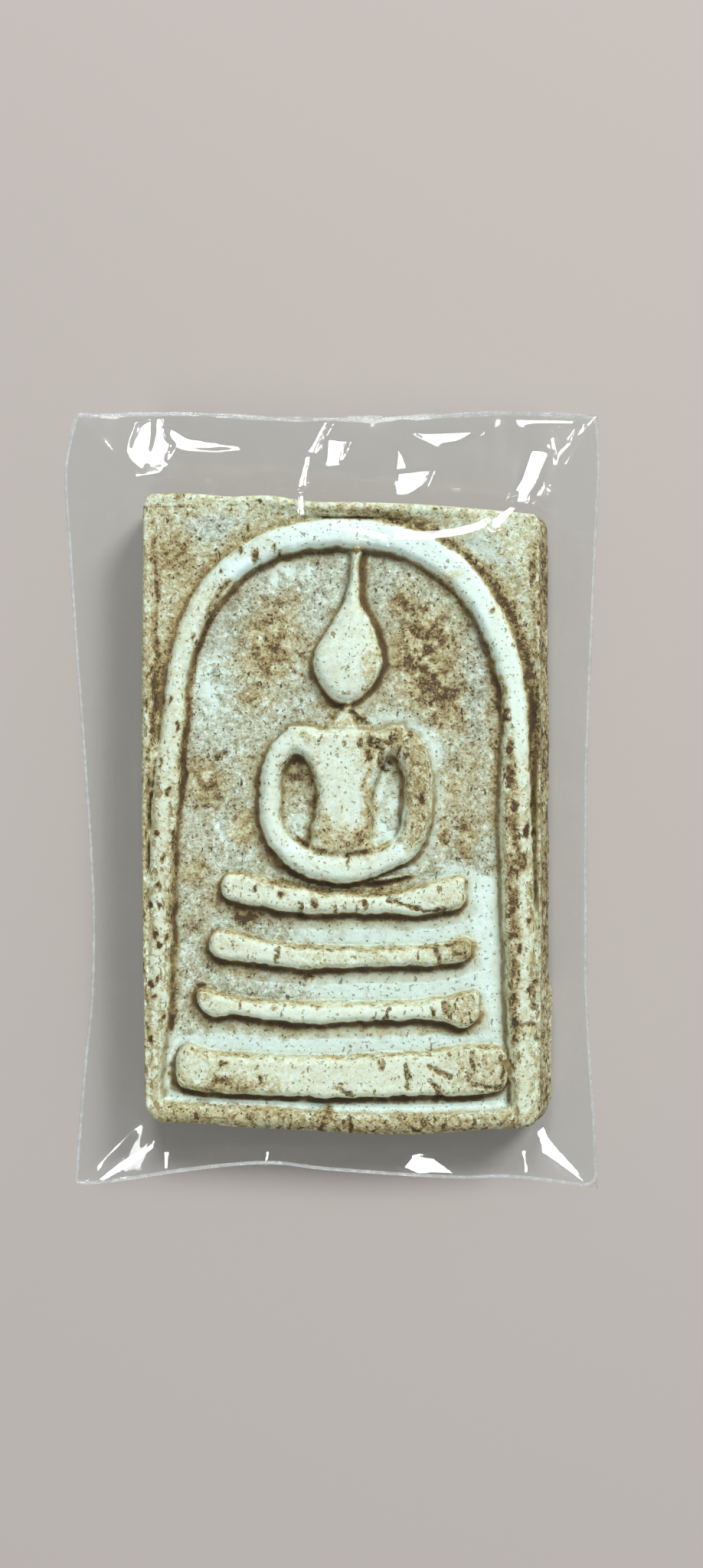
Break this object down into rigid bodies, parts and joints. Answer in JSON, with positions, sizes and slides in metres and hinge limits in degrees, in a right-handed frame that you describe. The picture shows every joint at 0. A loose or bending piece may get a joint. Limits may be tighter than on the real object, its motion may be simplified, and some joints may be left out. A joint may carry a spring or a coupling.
{
  "type": "pressed powder amulet tablet in a clear film sleeve",
  "caption": "Pressed powder votive tablet with a seated figure under an arch on a tiered seat, lying in a clear film sleeve sealed round its edge.",
  "frame": {"origin": "middle of the sleeve's outline, on the surface that the sleeve lies on", "axes": "+Z out of the face of the tablet, +Y towards the top of the figure, +X to the right of it"},
  "size_m": [0.0318, 0.0462, 0.0046],
  "materials": {
    "pressed_powder": "chalky cream powder, brown in the hollows, matte",
    "clear_film": "thin clear film, glossy, creased round the tablet"
  },
  "bodies": {
    "root": {"tablet": "pressed_powder", "front_film": "clear_film", "back_film": "clear_film"}
  },
  "joints": []
}
